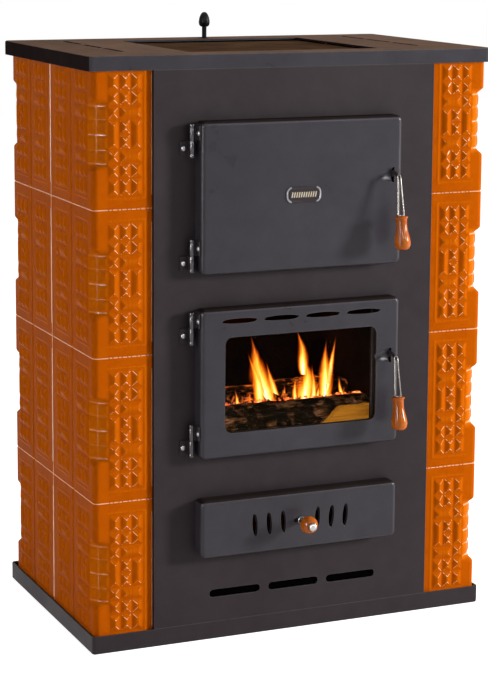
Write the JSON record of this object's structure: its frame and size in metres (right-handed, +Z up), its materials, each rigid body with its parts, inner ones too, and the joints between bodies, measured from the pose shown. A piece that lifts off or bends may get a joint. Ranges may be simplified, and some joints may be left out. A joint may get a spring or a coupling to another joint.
{
  "type": "tiled stove",
  "caption": "Free-standing wood stove with a steel front, relief corner tiles, a solid loading door, a glazed fire door, an ash drawer and a hotplate.",
  "frame": {"origin": "middle of the base on the floor", "axes": "+Z up, -Y towards the front with the doors, -X towards the hinges"},
  "size_m": [0.74, 0.5903, 1.0483],
  "materials": {
    "black_steel": "satin stove enamel, charcoal",
    "dark_steel": "matt heat-resistant paint",
    "orange_glaze": "gloss burnt orange glaze",
    "cast_iron": "matt cast",
    "fireclay": "matt fired clay with soot",
    "seal_rope": "knitted glass-fibre rope",
    "door_glass": "clear ceramic glass",
    "bright_steel": "polished",
    "latch_steel": "black lever, bright wire",
    "black_knob": "gloss black"
  },
  "bodies": {
    "root": {"base_tray": "black_steel", "front_panel": "black_steel", "top_plate": "black_steel", "hotplate": "cast_iron", "left_tile_carrier": "dark_steel", "right_tile_carrier": "dark_steel", "back_panel": "dark_steel", "flue_collar": "dark_steel", "tile_front_left_1": "orange_glaze", "tile_front_left_2": "orange_glaze", "tile_front_left_3": "orange_glaze", "tile_front_left_4": "orange_glaze", "tile_back_left_1": "orange_glaze", "tile_back_left_2": "orange_glaze", "tile_back_left_3": "orange_glaze", "tile_back_left_4": "orange_glaze", "tile_front_right_1": "orange_glaze", "tile_front_right_2": "orange_glaze", "tile_front_right_3": "orange_glaze", "tile_front_right_4": "orange_glaze", "tile_back_right_1": "orange_glaze", "tile_back_right_2": "orange_glaze", "tile_back_right_3": "orange_glaze", "tile_back_right_4": "orange_glaze", "firebox_body": "dark_steel", "firebox_front": "dark_steel", "firebox_top": "dark_steel", "hearth_plate": "fireclay", "grate": "cast_iron", "ash_shelf": "dark_steel", "left_firebrick": "fireclay", "right_firebrick": "fireclay", "rear_firebrick": "fireclay", "smoke_baffle": "fireclay", "upper_door_top_hinge_pin": "black_steel", "upper_door_bottom_hinge_pin": "black_steel", "lower_door_top_hinge_pin": "black_steel", "lower_door_bottom_hinge_pin": "black_steel"},
    "upper_door": {"upper_door": "black_steel", "upper_door_liner": "dark_steel", "upper_door_seal": "seal_rope", "upper_door_top_hinge_knuckle": "black_steel", "upper_door_bottom_hinge_knuckle": "black_steel"},
    "lower_door": {"lower_door": "black_steel", "door_glass": "door_glass", "glass_retainer": "dark_steel", "lower_door_seal": "seal_rope", "lower_door_top_hinge_knuckle": "black_steel", "lower_door_bottom_hinge_knuckle": "black_steel"},
    "upper_latch": {"upper_latch": "latch_steel", "upper_grip": "orange_glaze"},
    "lower_latch": {"lower_latch": "latch_steel", "lower_grip": "orange_glaze"},
    "ash_drawer": {"drawer_front": "black_steel", "ash_pan": "dark_steel"},
    "air_slide": {"air_slide": "bright_steel", "air_knob": "orange_glaze"},
    "damper": {"damper_slide": "dark_steel", "damper_knob": "black_knob"}
  },
  "joints": [
    {"name": "upper_door_hinge", "type": "hinge", "parent": "root", "child": "upper_door", "pos_m": [-0.196, -0.242, 0.7635], "axis": [0, 0, -1], "range_deg": [0, 110]},
    {"name": "lower_door_hinge", "type": "hinge", "parent": "root", "child": "lower_door", "pos_m": [-0.196, -0.242, 0.4505], "axis": [0, 0, -1], "range_deg": [0, 110]},
    {"name": "upper_latch_lift", "type": "hinge", "parent": "upper_door", "child": "upper_latch", "pos_m": [0.168, -0.2466, 0.787], "axis": [-1, 0, 0], "range_deg": [0, 20]},
    {"name": "lower_latch_lift", "type": "hinge", "parent": "lower_door", "child": "lower_latch", "pos_m": [0.168, -0.2466, 0.474], "axis": [-1, 0, 0], "range_deg": [0, 20]},
    {"name": "ash_drawer_slide", "type": "slide", "parent": "root", "child": "ash_drawer", "axis": [0, -1, 0], "range_m": [0, 0.32]},
    {"name": "air_slide_shift", "type": "slide", "parent": "ash_drawer", "child": "air_slide", "axis": [1, 0, 0], "range_m": [-0.0085, 0.0085]},
    {"name": "damper_pull", "type": "slide", "parent": "root", "child": "damper", "axis": [0, 1, 0], "range_m": [-0.01, 0.028]}
  ]
}
